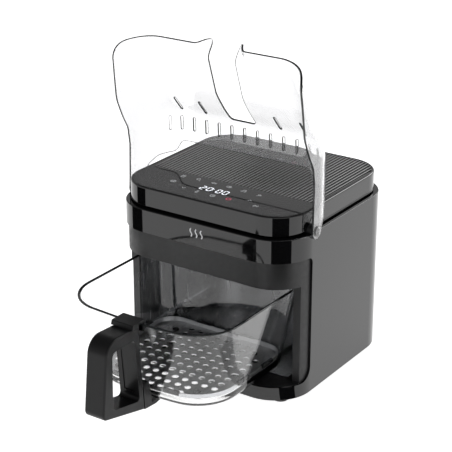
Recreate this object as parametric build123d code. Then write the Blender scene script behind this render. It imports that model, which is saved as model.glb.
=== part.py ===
from build123d import *
import os
from math import atan2, cos, degrees, radians, sin

# Countertop air fryer with a glass drawer and a swing-up clear guard, in millimetres, +Z up, front to -Y.
# It is drawn about the housing's own axis with z = 0 at the housing's bottom edge, and save() moves every
# piece to the row's origin: the middle of the whole footprint, on the surface it stands on.
# It stands as it is served from: the drawer is out to its stop and the guard is swung up.

# Housing
housing_width = 280.0
housing_depth = 265.0
housing_corner = 55.0
shell_wall = 2.5
rim_height = 223.7
cap_height = 252.4
cap_inset = 7.0
cap_wall = 2.5
shadow_gap = 2.5
foot_height = 5.0

# Front opening
lip_height = 18.5
brow_bottom = 155.4
band_bottom = 191.9
cutout_y = -77.0
opening_y = -94.5
bezel_inset = 3.0
bezel_wall = 3.0

# Top
control_edge_y = -53.0
top_border = 3.5
panel_thickness = 2.0
rib_pitch = 5.35
rib_width = 2.8
rib_height = 2.0
grille_plate = 1.0

# Cavity
liner_width = 244.0
liner_front_y = -92.0
liner_rear_y = 103.0
liner_floor = 20.0
liner_ceiling = 198.0
liner_corner = 40.0
liner_floor_radius = 14.0
liner_sheet = 1.0

# Glass basket, drawn out
basket_travel = 146.0
basket_bottom = 26.0
basket_rim = 143.0
basket_half_base = 100.0
basket_half_rim = 117.0
basket_front_base = -250.0
basket_front_rim = -274.0
basket_rear_base = -62.0
basket_rear_rim = -46.0
basket_front_corner = 60.0
basket_rear_corner = 35.0
basket_bow = 8.0
basket_bow_radius = 400.0
glass_wall = 4.0
glass_floor = 6.0

# Tray in the basket
crisper_height = 40.0
crisper_rim = 7.0
crisper_gap = 3.5
crisper_foot_offset = 62.0
bumper_thickness = 1.6

# Handle; its front is the furthest point once the corners are rounded
handle_half = 15.0
handle_front = -347.15
handle_screw_radius = 1.5
screw_y = -281.8
screw_z = 54.0
magnet_y = -260.0

# Guard
guard_inner_half = 141.0
guard_wall = 2.8
guard_swing = 162.0
pivot_y = -74.0
pivot_z = 226.0
pin_radius = 4.0
running_clearance = 0.05
hinge_boss = 8.0
notch_half = 20.5
notch_top = 143.0

# Heater and fan
fan_axis_y = 5.5
shaft_radius = 3.0
fan_radius = 52.0
fan_blades = 8
cooling_radius = 34.0
cooling_blades = 7
coil_height = 176.0
coil_radii = (60.0, 78.0)
coil_tube = 3.2
reflector_radius = 90.0
probe_x = -62.0
probe_z = 160.0

# Electrics
board_top = 238.0
gland_x = -62.0
gland_z = 45.0
gland_flange = 2.5

# Worked out
half_width = housing_width / 2
half_depth = housing_depth / 2
guard_outer_half = guard_inner_half + guard_wall
origin_y = (handle_front + half_depth + gland_flange) / 2
foot_places = [(-112, -104), (112, -104), (-105, 100), (105, 100)]
base_screw_places = [(x, y) for x in (-60, 60) for y in (-100, 110)]
back_screw_places = [(-78, 32), (78, 32), (-78, 198), (78, 198)]
terminal_places = [(-14, fan_axis_y + coil_radii[1]), (14, fan_axis_y + coil_radii[1])]
post_places = [(-60, fan_axis_y + 50), (60, fan_axis_y + 50), (0, fan_axis_y - 75)]
key_places = [(24 * column - 68, y) for y in (-64, -100) for column in range(6)]


def save(name, shape):
    os.makedirs("parts", exist_ok=True)
    export_step(Pos(0, -origin_y, foot_height) * shape, f"parts/{name}.step")


def block(x0, x1, y0, y1, z0, z1):
    return Pos((x0 + x1) / 2, (y0 + y1) / 2, (z0 + z1) / 2) * Box(x1 - x0, y1 - y0, z1 - z0)


def upright(x, y, radius, z0, z1):
    return Pos(x, y, (z0 + z1) / 2) * Cylinder(radius, z1 - z0)


def crosswise(x0, x1, y, z, radius):
    return Pos((x0 + x1) / 2, y, z) * Rot(0, 90, 0) * Cylinder(radius, x1 - x0)


def fore_aft(x, y0, y1, z, radius):
    return Pos(x, (y0 + y1) / 2, z) * Rot(90, 0, 0) * Cylinder(radius, y1 - y0)


def housing_prism(inset, z0, z1):
    """Upright prism that follows the housing's outline, inset by a distance."""
    outline = RectangleRounded(housing_width - 2 * inset, housing_depth - 2 * inset, housing_corner - inset)
    return extrude(Pos(0, 0, z0) * outline, amount=z1 - z0)


def side_plate(corners, x0, x1):
    """Plate across X from (y, z, radius) corners."""
    points = [(y, z) for y, z, radius in corners]
    radii = [radius for y, z, radius in corners]
    face = Plane.YZ * make_face(FilletPolyline(*points, radius=radii, close=True))
    return Pos(x0, 0, 0) * extrude(face, amount=x1 - x0, dir=(1, 0, 0))


def plan_face(corners, z):
    """Level face at a height from (x, y, radius) corners."""
    points = [(x, y) for x, y, radius in corners]
    radii = [radius for x, y, radius in corners]
    return Pos(0, 0, z) * make_face(FilletPolyline(*points, radius=radii, close=True))


def fuse(shapes):
    whole = shapes[0]
    for shape in shapes[1:]:
        whole = whole + shape
    return whole


# ---- housing ----

def outer_shell():
    shell = housing_prism(0, 0, rim_height)
    shell = fillet(shell.faces().sort_by(Axis.Z)[-1].edges(), 1.2)
    shell = fillet(shell.faces().sort_by(Axis.Z)[0].edges(), 1.0)
    shell -= housing_prism(shell_wall, -1, rim_height - shell_wall)
    shell -= housing_prism(shell_wall + 9.5, 0, rim_height + 1)
    cutout = [(-200, lip_height, 0), (cutout_y, lip_height, 20),
              (cutout_y, band_bottom, 8), (-200, band_bottom, 0)]
    shell -= side_plate(cutout, -200, 200)
    shell -= block(-84.5, 84.5, half_depth - 5, half_depth + 5, 25, 205)
    shell -= crosswise(-200, 200, pivot_y, pivot_z, hinge_boss + 0.2)
    return shell


def front_bezel():
    """Recessed matt front: brow, side strips and sill in one moulding."""
    bezel = housing_prism(bezel_inset, lip_height - bezel_wall, band_bottom)
    bezel -= block(-200, 200, -70, 200, 0, 300)
    bezel -= block(-200, 200, -200, opening_y, lip_height, brow_bottom)
    mouth_half = liner_width / 2 + 1.5
    bezel -= block(-mouth_half, mouth_half, -200, 0, lip_height, brow_bottom)
    bezel -= block(-mouth_half, mouth_half, liner_front_y - 0.5, 0, lip_height, band_bottom + 1)
    bezel -= housing_prism(bezel_inset + bezel_wall, brow_bottom + bezel_wall, band_bottom + 1)
    return bezel


def base_pan():
    pan = housing_prism(shell_wall + 0.5, 0.4, 14)
    pan -= housing_prism(shell_wall + 2.5, 2.9, 15)
    for x, y in foot_places:
        pan -= upright(x, y, 4, -1, 5)
    for x, y in base_screw_places:
        pan -= upright(x, y, 1.5, -1, 5)
    for row in range(6):
        pan -= block(-40, 40, 20 + 8 * row, 23 + 8 * row, -1, 4)
    return pan


def foot(x, y):
    return upright(x, y, 11, -foot_height, 0.4) + upright(x, y, 4, 0.4, 2.9) + upright(x, y, 6, 2.9, 4.4)


def back_cover():
    cover = block(-84.2, 84.2, 130.2, half_depth, 25.3, 204.7)
    cover += block(-88, 88, 127.7, 129.8, 20, 210)
    cover += block(-80, 80, 129.8, 130.2, 30, 200)
    cover -= block(-37, 37, 120, 140, 141, 189)
    cover -= fore_aft(gland_x, 120, 140, gland_z, 8)
    for x, z in back_screw_places:
        cover -= fore_aft(x, 120, 140, z, 1.6)
    for row in range(6):
        cover -= block(10, 70, 120, 140, 52 + 9 * row, 55 + 9 * row)
    return cover


def back_screws():
    screws = []
    for x, z in back_screw_places:
        head = fore_aft(x, half_depth, half_depth + 1.6, z, 3.2)
        screws.append(head + fore_aft(x, 122, half_depth, z, 1.6))
    return Compound(screws)


def exhaust_grille():
    grille = block(-36.8, 36.8, 127.7, half_depth + 1.5, 141.2, 188.8)
    grille -= block(-33, 33, 120, 140, 145, 185)
    for row in range(6):
        slat = Rot(35, 0, 0) * Box(67, 6, 1.4)
        grille += Pos(0, 130.9, 148.5 + 6.6 * row) * slat
    return grille


def cord_gland():
    gland = fore_aft(gland_x, 125, half_depth, gland_z, 8)
    gland += fore_aft(gland_x, half_depth, half_depth + gland_flange, gland_z, 11)
    gland -= fore_aft(gland_x, 120, 140, gland_z, 3.8)
    return gland


def base_screws():
    screws = []
    for x, y in base_screw_places:
        screws.append(upright(x, y, 3.2, -1, 0.4) + upright(x, y, 1.5, 0.4, 4))
    return Compound(screws)


# ---- head ----

def top_cap():
    cap = housing_prism(cap_inset, rim_height + shadow_gap, cap_height)
    cap = fillet(cap.faces().sort_by(Axis.Z)[-1].edges(), 2.5)
    cap -= housing_prism(cap_inset + cap_wall, rim_height + shadow_gap + cap_wall, cap_height - 5)
    cap -= housing_prism(cap_inset + top_border + 3.5, cap_height - 6, cap_height + 1)
    cap -= housing_prism(cap_inset + top_border, cap_height - panel_thickness - grille_plate, cap_height + 1)
    cap += housing_prism(12.3, 212, rim_height + shadow_gap + 0.5)
    cap -= housing_prism(14.8, 200, rim_height + shadow_gap + cap_wall + 1)
    cap -= crosswise(-200, 200, pivot_y, pivot_z, hinge_boss + 0.2)
    return cap


def touch_panel():
    panel = housing_prism(cap_inset + top_border + 0.2, cap_height - panel_thickness - grille_plate, cap_height)
    return panel & block(-200, 200, -200, control_edge_y - 0.2, 0, 300)


def top_grille():
    """Ribbed cover over the motor: ribs run front to back, with through slots above the cooling fan."""
    bottom = cap_height - rib_height - grille_plate
    field = housing_prism(cap_inset + top_border + 0.2, bottom, cap_height)
    field &= block(-200, 200, control_edge_y + 0.2, 200, 0, 300)
    grooves = []
    slots = []
    count = int(half_width / rib_pitch)
    for i in range(-count, count + 1):
        middle = (i + 0.5) * rib_pitch
        low = middle - (rib_pitch - rib_width) / 2
        high = middle + (rib_pitch - rib_width) / 2
        grooves.append(block(low, high, -60, 140, bottom + grille_plate, cap_height + 1))
        if abs(middle) < 72:
            slots.append(block(low, high, -25, 3, bottom - 1, cap_height))
            slots.append(block(low, high, 8, 36, bottom - 1, cap_height))
    return field - grooves - slots


def display_module():
    return block(-34, 34, -92.5, -77, board_top, 249.0)


def control_board():
    board = block(-92, 92, -112, -57, board_top - 1.6, board_top)
    board += block(-75, -60, -112, -104, board_top - 9, board_top - 1.6)
    board += block(30, 50, -80, -60, board_top - 4, board_top - 1.6)
    return board


def touch_springs():
    springs = []
    for x, y in key_places:
        springs.append(upright(x, y, 3.5, board_top, cap_height - panel_thickness - grille_plate))
    return Compound(springs)


def power_board():
    board = block(-100, -22, 112, 113.6, 60, 140)
    board += block(-95, -70, 113.6, 126, 100, 132)
    board += block(-60, -45, 113.6, 124, 70, 90)
    board += fore_aft(-36, 113.6, 126, 118, 8)
    return board


# ---- cavity ----

def liner_outline(grow, z0, z1):
    half = liner_width / 2 + grow
    rear = liner_rear_y + grow
    corner = liner_corner + grow
    front = liner_front_y
    corners = [(-half, front, 0), (-half, rear, corner), (half, rear, corner), (half, front, 0)]
    return extrude(plan_face(corners, z0), amount=z1 - z0)


def liner_front_view(grow):
    """Front view of the liner, with its floor curving up at both sides, run right through in Y."""
    half = liner_width / 2 + grow
    low = liner_floor - grow
    high = liner_ceiling + grow
    radius = liner_floor_radius + grow
    face = make_face(FilletPolyline((-half, low), (half, low), (half, high), (-half, high),
                                    radius=[radius, radius, 0, 0], close=True))
    return extrude(Plane.XZ * face, amount=300, both=True)


def cavity_liner():
    liner = liner_outline(liner_sheet, 0, 260) & liner_front_view(liner_sheet)
    hollow = liner_outline(0, 0, 260) & liner_front_view(0)
    header_bottom = brow_bottom + bezel_wall + 0.2
    liner -= hollow - block(-200, 200, -200, liner_front_y + liner_sheet, header_bottom, 300)
    liner -= upright(0, fan_axis_y, 6, 190, 210)
    liner -= block(-30, 30, 95, 110, 152, 178)
    liner -= fore_aft(probe_x, 95, 110, probe_z, 2.2)
    for x, y in terminal_places:
        liner -= upright(x, y, 5, 190, 210)
    return liner


def heat_reflector():
    reflector = upright(0, fan_axis_y, reflector_radius, 194, 195)
    skirt = upright(0, fan_axis_y, reflector_radius, 186, 194)
    reflector += skirt - upright(0, fan_axis_y, reflector_radius - 1, 185, 194)
    reflector -= upright(0, fan_axis_y, 7, 180, 200)
    for x, y in terminal_places:
        reflector -= upright(x, y, 4.5, 180, 200)
    for x, y in post_places:
        reflector += upright(x, y, 3, 195, 198)
    return reflector


def heating_element():
    rings = [Pos(0, fan_axis_y, coil_height) * Torus(radius, coil_tube) for radius in coil_radii]
    bridge = crosswise(coil_radii[0], coil_radii[1], fan_axis_y, coil_height, coil_tube)
    legs = [upright(x, y, coil_tube, coil_height, 212) for x, y in terminal_places]
    return fuse(rings + [bridge] + legs)


def heater_clips():
    clips = []
    for angle in (90, 210, 330):
        arm = block(54, 84, -3, 3, 171.4, 172.6)
        arm += block(68.4, 69.6, -3, 3, 172.6, 194)
        clips.append(Pos(0, fan_axis_y, 0) * Rot(0, 0, angle) * arm)
    return Compound(clips)


def heater_guard():
    rings = [Pos(0, fan_axis_y, 165) * Torus(radius, 1.2) for radius in (20, 37, 54, 71, 87)]
    rods = []
    for spoke in range(3):
        rods.append(Pos(0, fan_axis_y, 165) * Rot(0, 0, 60 * spoke) * Rot(0, 90, 0) * Cylinder(1.2, 174))
    posts = []
    for angle in (30, 150, 270):
        x = 87 * cos(radians(angle))
        y = fan_axis_y + 87 * sin(radians(angle))
        posts.append(upright(x, y, 1.5, 165, 194))
    return fuse(rings + rods + posts)


def basket_rail(side):
    low, high = sorted((side * 60, side * 74))
    rail = block(low, high, liner_front_y + 2, 96, liner_floor, basket_bottom - 0.3)
    rail += block(low, high, -128, liner_front_y + 2, lip_height, basket_bottom - 0.3)
    rail -= block(low, high, liner_front_y - 2, liner_front_y + 2, 0, liner_floor)
    return rail


def rim_guide(side):
    low, high = sorted((side * 106, side * liner_width / 2))
    guide = block(low, high, liner_front_y + 4, 60, basket_rim + 1, basket_rim + 3)
    low, high = sorted((side * (liner_width / 2 - 2), side * liner_width / 2))
    guide += block(low, high, liner_front_y + 4, 60, basket_rim + 3, basket_rim + 9)
    return guide


def air_duct():
    duct = block(-33, 33, 104, 127.7, 149, 181)
    duct -= block(-32, 32, 100, 130, 150, 180)
    return duct


def temperature_probe():
    return fore_aft(probe_x, 84, 104, probe_z, 1.8) + fore_aft(probe_x, 104, 109, probe_z, 5)


def thermostat():
    return upright(80, 45, 9, 199, 208) + block(69, 91, 41, 49, 199, 200.2)


def thermal_fuse():
    fuse_body = crosswise(-86, -66, 45, 203, 2.5)
    fuse_body += block(-78, -74, 42.5, 47.5, 199, 203)
    return fuse_body


def basket_sensor():
    return block(-8, 8, -118, -108, 11.5, 15.5)


# ---- motor and fan ----

def motor_bracket():
    plate = block(-52, 52, fan_axis_y - 40, fan_axis_y + 40, 206, 207.5)
    for x in (-46, 46):
        for y in (fan_axis_y - 34, fan_axis_y + 34):
            plate += upright(x, y, 3.5, 199, 206)
    plate -= upright(0, fan_axis_y, 13, 200, 210)
    return plate


def motor_housing():
    motor = upright(0, fan_axis_y, 27, 207.5, 234)
    motor += upright(0, fan_axis_y, 9, 234, 236)
    motor -= upright(0, fan_axis_y, shaft_radius + running_clearance, 200, 240)
    return motor


def motor_shaft():
    return upright(0, fan_axis_y, shaft_radius, 179, 247)


def fan(hub_radius, tip_radius, blades, z0, z1, twist):
    wheel = upright(0, 0, hub_radius, z0, z1)
    for i in range(blades):
        blade = Pos((hub_radius + tip_radius) / 2 - 1, 0, (z0 + z1) / 2)
        blade *= Rot(twist, 0, 0) * Box(tip_radius - hub_radius + 2, 1.4, (z1 - z0) * 0.9)
        wheel += Rot(0, 0, 360 / blades * i) * blade
    wheel -= upright(0, 0, shaft_radius, z0 - 1, z1 + 1)
    return Pos(0, fan_axis_y, 0) * wheel


def convection_fan():
    wheel = fan(13, fan_radius, fan_blades, 182, 190, 12)
    wheel += upright(0, fan_axis_y, fan_radius, 189, 190.2)
    return wheel - upright(0, fan_axis_y, shaft_radius, 180, 195)


def fan_nut():
    nut = extrude(Pos(0, fan_axis_y, 179.5) * RegularPolygon(5.5, 6), amount=2.5)
    return nut - upright(0, fan_axis_y, shaft_radius, 179, 183)


# ---- glass basket and handle ----

def basket_half(z):
    share = (z - 30) / (basket_rim - 30)
    return basket_half_base + share * (basket_half_rim - basket_half_base)


def basket_front(z):
    share = (z - 30) / (basket_rim - 30)
    return basket_front_base + share * (basket_front_rim - basket_front_base)


def basket_rear(z):
    share = (z - 30) / (basket_rim - 30)
    return basket_rear_base + share * (basket_rear_rim - basket_rear_base)


def basket_section(z, inset):
    half = basket_half(z) - inset
    front = basket_front(z) + inset
    rear = basket_rear(z) - inset
    front_radius = basket_front_corner - inset
    rear_radius = basket_rear_corner - inset
    return plan_face([(-half, rear, rear_radius), (-half, front + basket_bow, front_radius),
                      (0, front, basket_bow_radius), (half, front + basket_bow, front_radius),
                      (half, rear, rear_radius)], z)


def glass_basket():
    outer_steps = ((basket_bottom, 12), (27.5, 6.5), (31, 2.5), (37, 0), (basket_rim, 0))
    outside = loft([basket_section(z, inset) for z, inset in outer_steps], ruled=True)
    floor = basket_bottom + glass_floor
    inner_steps = ((floor, 11), (floor + 1.5, 6), (floor + 5, 2.5), (floor + 11, 0), (basket_rim + 1, 0))
    inside = loft([basket_section(z, glass_wall + inset) for z, inset in inner_steps], ruled=True)
    return outside - inside


def handle_grip():
    outline = [(-273.5, 139.3, 1), (-336.6, 143.2, 22), (handle_front - 0.85, 42.4, 9), (-266, 22.2, 1)]
    window = [(-283.8, 125.5, 6), (-327, 126, 8), (-328.6, 49, 7), (-276, 38.5, 5)]
    grip = side_plate(outline, -handle_half, handle_half)
    grip = fillet(grip.edges().filter_by(Axis.X, reverse=True), 2.5)
    grip -= side_plate(window, -30, 30)
    grip -= side_plate([(-290, 116, 0), (-280.1, 116, 0), (-273.8, 50, 0), (-290, 50, 0)], -8.2, 8.2)
    grip -= upright(0, screw_y, handle_screw_radius, 120, 150)
    grip -= upright(0, screw_y, 3, 116.2, 125.6)
    grip -= fore_aft(0, -290, -260, screw_z, handle_screw_radius)
    return grip


def handle_cover():
    """Strip that closes the screw channel in the handle's rear column."""
    return side_plate([(-282.2, 115.8, 0), (-280.9, 115.8, 0), (-274.7, 50.2, 0), (-276.0, 50.2, 0)], -8, 8)


def rim_clamp():
    outline = [(-289, 140.5, 0), (-287.5, 146.3, 1), (-263.5, 146.3, 1), (-263.5, 131, 0.5),
               (-265.4, 131, 0.5), (-265.4, 143.2, 0), (-276, 143.2, 0), (-276, 139.6, 0)]
    clamp = side_plate(outline, -16.5, 16.5)
    return clamp - upright(0, screw_y, handle_screw_radius, 120, 144)


def lower_bracket():
    outline = [(-265.9, 22.4, 0), (-243, 20.6, 1), (-234, 22.3, 1), (-234, 25.8, 0),
               (-251.7, 25.8, 0), (-252.4, 37, 0), (-257.2, 58, 1), (-268.2, 58, 0)]
    bracket = side_plate(outline, -handle_half, handle_half)
    bracket -= upright(0, magnet_y, 3, 20, 26 + 1)
    bracket -= fore_aft(0, -290, -258, screw_z, handle_screw_radius)
    return bracket


def sensor_magnet():
    return upright(0, magnet_y, 3, 23, 27)


def handle_screws():
    upper = upright(0, screw_y, handle_screw_radius, 125.6, 144) + upright(0, screw_y, 2.8, 124.2, 125.6)
    lower = fore_aft(0, -273.6, -258, screw_z, handle_screw_radius)
    return Compound([upper, lower])


def crisper_middle():
    return (basket_front(crisper_height) + basket_rear(crisper_height)) / 2


def crisper_foot_places():
    offset = crisper_foot_offset
    return [(x, crisper_middle() + y) for x in (-offset, offset) for y in (-offset, offset)]


def crisper_plate():
    """Tray that holds food off the glass floor, with a folded rim and rows of air holes."""
    low = crisper_height
    top = crisper_height + crisper_rim
    inset = glass_wall + crisper_gap
    tray = loft([basket_section(low, inset), basket_section(top, inset)], ruled=True)
    tray -= loft([basket_section(low + 1.5, inset + 1.2), basket_section(top + 1, inset + 1.2)], ruled=True)
    holes = []
    for x in range(-75, 76, 15):
        for y in range(-75, 76, 15):
            near_foot = abs(x) > 55 and abs(y) > 55
            if not near_foot:
                holes.append(upright(x, crisper_middle() + y, 4.2, low - 1, low + 3))
    for x, y in crisper_foot_places():
        holes.append(upright(x, y, 4.2, low - 1, low + 3))
    return tray - holes


def crisper_feet():
    """Silicone pads under the tray, one near each corner."""
    feet = []
    for x, y in crisper_foot_places():
        pad = upright(x, y, 6.5, basket_bottom + glass_floor + 0.3, crisper_height)
        feet.append(pad + upright(x, y, 4.2, crisper_height, crisper_height + 3))
    return Compound(feet)


def bumper(length):
    """Silicone strip outside the tray's rim, drawn along X with the rim on its +Y side and folded over it."""
    top = crisper_height + crisper_rim
    end = length / 2
    strip = block(-end, end, -bumper_thickness / 2, bumper_thickness / 2, top - 3.5, top + 1.6)
    return strip + block(-end, end, 0, bumper_thickness + 1.2, top + 0.1, top + 1.6)


def crisper_bumpers():
    """Strips clipped over the tray's rim, which keep it off the glass."""
    strips = []
    top = crisper_height + crisper_rim
    inset = glass_wall + crisper_gap - bumper_thickness / 2 - 0.1
    bow_angle = degrees(atan2(basket_bow, basket_half(top)))
    for end in (-1, 1):
        side = end * (basket_half(top) - inset)
        for y in (-170, -115):
            strips.append(Pos(side, y, 0) * Rot(0, 0, end * 90) * bumper(24))
        strips.append(Pos(end * 34, basket_rear(top) - inset, 0) * Rot(0, 0, 180) * bumper(22))
        front = basket_front(top) + inset + 40 * basket_bow / basket_half(top)
        strips.append(Pos(end * 40, front, 0) * Rot(0, 0, end * bow_angle) * bumper(22))
    return Compound(strips)


# ---- guard, drawn shut and swung up about its pins ----

guard_profile = ((19, -136), (92, -137), (111, -143), (125, -148), (138, -154), (145, -157), (163, -152),
                 (187, -144.5), (240, -128))
lip_outline = ((38, 0), (33, -5), (27, -15), (notch_half, -20))


def guard_section(z, front, inset):
    half = guard_outer_half - inset
    corner = housing_corner - inset
    rear = 20 + inset
    return plan_face([(-half, rear, 0), (-half, front + inset, corner), (half, front + inset, corner),
                      (half, rear, 0)], z)


def guard_lip(side):
    """Flared lip beside the handle notch."""
    wall_y = -136
    low = [(side * x, wall_y + y) for x, y in lip_outline]
    low += [(side * x, wall_y + y + guard_wall) for x, y in reversed(lip_outline)]
    high = [(side * x, wall_y - 0.29) for x, y in lip_outline]
    high += [(side * x, wall_y - 0.29 + guard_wall) for x, y in reversed(lip_outline)]
    return loft([Pos(0, 0, 19) * make_face(Polyline(*low, close=True)),
                 Pos(0, 0, 40) * make_face(Polyline(*high, close=True))], ruled=True)


def guard_cover():
    outside = loft([guard_section(z, front, 0) for z, front in guard_profile], ruled=True)
    inside = loft([guard_section(z, front, guard_wall) for z, front in guard_profile], ruled=True)
    silhouette = [(-170, 19, 0), (-170, 187, 0), (-143.5, 187, 4), (-136, 202, 6), (-121, 203.5, 10),
                  (-107, 209.5, 8), (-83, 229.5, 3), (-74, 230, 1), (-65.5, 220.5, 1), (-70.5, 208, 20),
                  (-86, 165, 20), (-88.5, 150, 20), (-94, 19, 22)]
    arms = side_plate(silhouette, -200, 200) + crosswise(-200, 200, pivot_y, pivot_z, 10)
    guard = (outside - inside) & arms
    guard -= block(-notch_half, notch_half, -200, -100, 0, notch_top)
    guard -= block(-38, 38, -200, -100, 0, 40)
    guard += guard_lip(1)
    guard += guard_lip(-1)
    slots = []
    for i in range(-6, 7):
        x = min(max(20 * i, -117), 117)
        slots.append(block(x - 2, x + 2, -165, -134, 153, 172.5))
    for x in (-97, -58, 58, 97):
        slots.append(block(x - 2, x + 2, -165, -134, 116, 142))
    guard -= slots
    guard -= crosswise(-200, 200, pivot_y, pivot_z, pin_radius)
    return swung_up(guard)


def swung_up(shape):
    """Turns a piece from the guard's shut place to its open one."""
    return Pos(0, pivot_y, pivot_z) * Rot(-guard_swing, 0, 0) * Pos(0, -pivot_y, -pivot_z) * shape


def pivot_pin(side):
    low, high = sorted((side * 128, side * guard_outer_half))
    pin = crosswise(low, high, pivot_y, pivot_z, pin_radius)
    low, high = sorted((side * guard_outer_half, side * (guard_outer_half + 1.5)))
    return pin + crosswise(low, high, pivot_y, pivot_z, 6.5)


def hinge_socket(side):
    low, high = sorted((side * 122, side * (guard_inner_half - 0.5)))
    socket = crosswise(low, high, pivot_y, pivot_z, hinge_boss)
    low, high = sorted((side * 127.5, side * guard_inner_half))
    return socket - crosswise(low, high, pivot_y, pivot_z, pin_radius + running_clearance)


def main():
    save("outer_shell", outer_shell())
    save("front_bezel", front_bezel())
    save("base_pan", base_pan())
    for name, (x, y) in zip(("front_left", "front_right", "rear_left", "rear_right"), foot_places):
        save(f"foot_{name}", foot(x, y))
    save("back_cover", back_cover())
    save("back_screws", back_screws())
    save("base_screws", base_screws())
    save("exhaust_grille", exhaust_grille())
    save("cord_gland", cord_gland())
    save("top_cap", top_cap())
    save("touch_panel", touch_panel())
    save("top_grille", top_grille())
    save("display_module", display_module())
    save("control_board", control_board())
    save("touch_springs", touch_springs())
    save("power_board", power_board())
    save("cavity_liner", cavity_liner())
    save("heat_reflector", heat_reflector())
    save("heating_element", heating_element())
    save("heater_clips", heater_clips())
    save("heater_guard", heater_guard())
    for name, side in (("left", -1), ("right", 1)):
        save(f"basket_rail_{name}", basket_rail(side))
        save(f"rim_guide_{name}", rim_guide(side))
        save(f"hinge_socket_{name}", hinge_socket(side))
        save(f"pivot_pin_{name}", pivot_pin(side))
    save("air_duct", air_duct())
    save("temperature_probe", temperature_probe())
    save("thermostat", thermostat())
    save("thermal_fuse", thermal_fuse())
    save("basket_sensor", basket_sensor())
    save("motor_bracket", motor_bracket())
    save("motor_housing", motor_housing())
    save("motor_shaft", motor_shaft())
    save("convection_fan", convection_fan())
    save("cooling_fan", fan(9, cooling_radius, cooling_blades, 238.5, 246, 35))
    save("fan_nut", fan_nut())
    save("glass_basket", glass_basket())
    save("handle_grip", handle_grip())
    save("handle_cover", handle_cover())
    save("rim_clamp", rim_clamp())
    save("lower_bracket", lower_bracket())
    save("handle_screws", handle_screws())
    save("sensor_magnet", sensor_magnet())
    save("crisper_plate", crisper_plate())
    save("crisper_feet", crisper_feet())
    save("crisper_bumpers", crisper_bumpers())
    save("guard_cover", guard_cover())


main()
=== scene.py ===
import math

import bmesh
import bpy
import numpy as np
from bpy.props import FloatProperty, FloatVectorProperty, IntProperty, PointerProperty, StringProperty
from mathutils import Matrix, Vector
from mathutils.geometry import delaunay_2d_cdt


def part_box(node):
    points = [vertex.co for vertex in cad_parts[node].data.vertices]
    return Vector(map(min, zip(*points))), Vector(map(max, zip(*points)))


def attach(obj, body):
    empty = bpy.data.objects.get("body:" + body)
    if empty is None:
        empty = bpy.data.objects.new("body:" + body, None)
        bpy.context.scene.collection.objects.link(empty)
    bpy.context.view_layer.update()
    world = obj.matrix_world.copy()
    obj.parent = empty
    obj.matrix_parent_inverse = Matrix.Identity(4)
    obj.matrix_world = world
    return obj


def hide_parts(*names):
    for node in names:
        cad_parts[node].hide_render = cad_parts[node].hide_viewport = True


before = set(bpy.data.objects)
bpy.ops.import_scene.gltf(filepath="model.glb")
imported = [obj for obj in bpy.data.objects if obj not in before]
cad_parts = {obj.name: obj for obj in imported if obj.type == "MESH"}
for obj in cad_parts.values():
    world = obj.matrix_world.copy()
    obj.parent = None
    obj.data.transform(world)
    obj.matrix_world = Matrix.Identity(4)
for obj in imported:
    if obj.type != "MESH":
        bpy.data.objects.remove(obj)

bl_info = {
    "name": "Glass drawer air fryer",
    "version": (1, 0, 0),
    "blender": (4, 5, 0),
    "location": "3D View > Sidebar > Air fryer",
    "description": "Glass drawer, clear guard, ribbed top and finishes around the packed air fryer",
    "category": "Object",
}

# The housing's own axis at its bottom edge, and the guard's pin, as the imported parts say
MM = 0.001
SHELL_LOW, SHELL_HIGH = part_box("outer_shell")
HOME = Vector(((SHELL_LOW.x + SHELL_HIGH.x) / 2, (SHELL_LOW.y + SHELL_HIGH.y) / 2, SHELL_LOW.z))
PIN_LOW, PIN_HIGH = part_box("pivot_pin_right")
PIN = (PIN_LOW + PIN_HIGH) / 2 - HOME
GUARD_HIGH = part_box("guard_cover")[1]


def linear(hex_colour):
    """Linear colour for an sRGB hex one."""
    channels = [int(hex_colour[i:i + 2], 16) / 255 for i in (1, 3, 5)]
    return [c / 12.92 if c <= 0.04045 else ((c + 0.055) / 1.055) ** 2.4 for c in channels] + [1.0]


# ---- what a user would change ----

def length(label, description, millimetres):
    """Property for a length, given in millimetres."""
    return FloatProperty(name=label, description=description, default=millimetres * MM, unit="LENGTH",
                         precision=4)


def degrees(label, description, amount):
    """Property for an angle, given in degrees."""
    return FloatProperty(name=label, description=description, default=math.radians(amount), subtype="ANGLE")


def colour(label, description, hex_colour):
    """Property for a colour, given as sRGB hex."""
    return FloatVectorProperty(name=label, description=description, default=linear(hex_colour), size=4,
                               min=0, max=1, subtype="COLOR")


class GuardSizes(bpy.types.PropertyGroup):
    wall: length("Wall", "Thickness of the clear sheet", 2.8)
    half: length("Half width", "From the middle to the outside of an arm", GUARD_HIGH.x / MM)
    corner: length("Corner radius", "Radius of its upright corners", 55)
    low: length("Low edge", "Height of its lower edge when shut", 19)
    notch_half: length("Notch half width", "Half width of the slot for the handle", 20.5)
    notch_top: length("Notch height", "Height of the top of the slot for the handle when shut", 143)
    lip: length("Lip flare", "How far the lips beside the notch stand out", 20)
    lip_corner: length("Lip corner", "Radius of the lips' corners", 11)
    slot_width: length("Vent width", "Width of a steam vent", 4)
    pin: length("Pin radius", "Radius of the hole for the hinge pin", 4)
    knuckle: length("Knuckle radius", "Radius of the rounded end round the pin", 10)
    mesh: length("Mesh spacing", "Distance between points on the sheet", 3.6)
    swing: degrees("Swing", "Angle from shut to the served position", 162)


class BasketSizes(bpy.types.PropertyGroup):
    wall: length("Wall", "Thickness of the glass", 4)
    floor: length("Floor", "Thickness of the glass under the food", 6)
    heel: length("Heel radius", "Radius where the walls meet the floor", 12)
    front_corner: length("Front corner radius", "Radius of the two front corners", 60)
    rear_corner: length("Rear corner radius", "Radius of the two rear corners", 35)
    bow: length("Bow", "How far the middle of the front stands forward", 8)


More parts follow.
